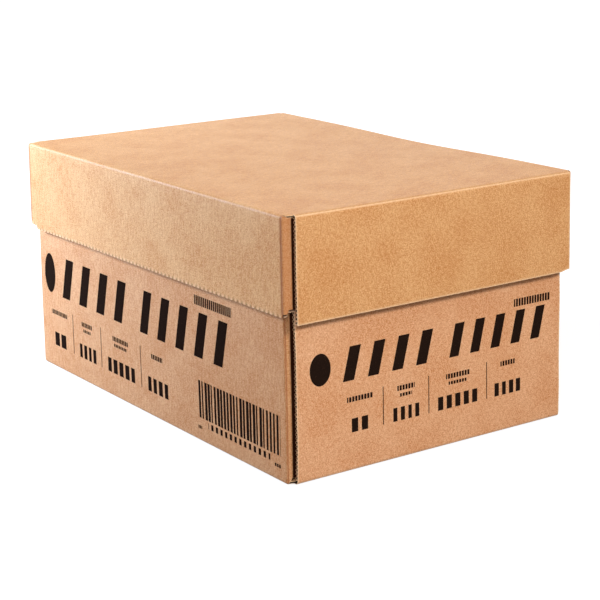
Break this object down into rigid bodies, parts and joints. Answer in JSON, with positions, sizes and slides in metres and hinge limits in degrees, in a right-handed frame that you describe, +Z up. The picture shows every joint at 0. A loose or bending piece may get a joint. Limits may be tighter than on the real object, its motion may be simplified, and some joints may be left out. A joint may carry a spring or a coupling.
{
  "type": "carton of copy paper",
  "caption": "Kraft corrugated carton with a lift-off lid and glued corner flaps, packed with wrapped reams of letter size paper in two stacks",
  "frame": {"origin": "middle of the carton's underside", "axes": "+X along the carton's length, +Y along its width, +Z up"},
  "size_m": [0.4602, 0.3086, 0.2263],
  "materials": {
    "base_board": "kraft liner with dark flexo print",
    "lid_board": "plain kraft liner",
    "ream_wrapper": "smooth coated wrapping paper"
  },
  "bodies": {
    "carton": {"base": "base_board", "ream_left_1": "ream_wrapper", "ream_left_2": "ream_wrapper", "ream_left_3": "ream_wrapper", "ream_left_4": "ream_wrapper", "ream_left_5": "ream_wrapper", "ream_right_1": "ream_wrapper", "ream_right_2": "ream_wrapper", "ream_right_3": "ream_wrapper", "ream_right_4": "ream_wrapper", "ream_right_5": "ream_wrapper"},
    "lid": {"lid": "lid_board"}
  },
  "joints": [
    {"name": "lid_lift", "type": "slide", "parent": "carton", "child": "lid", "axis": [0, 0, 1], "range_m": [0, 0.15]}
  ]
}
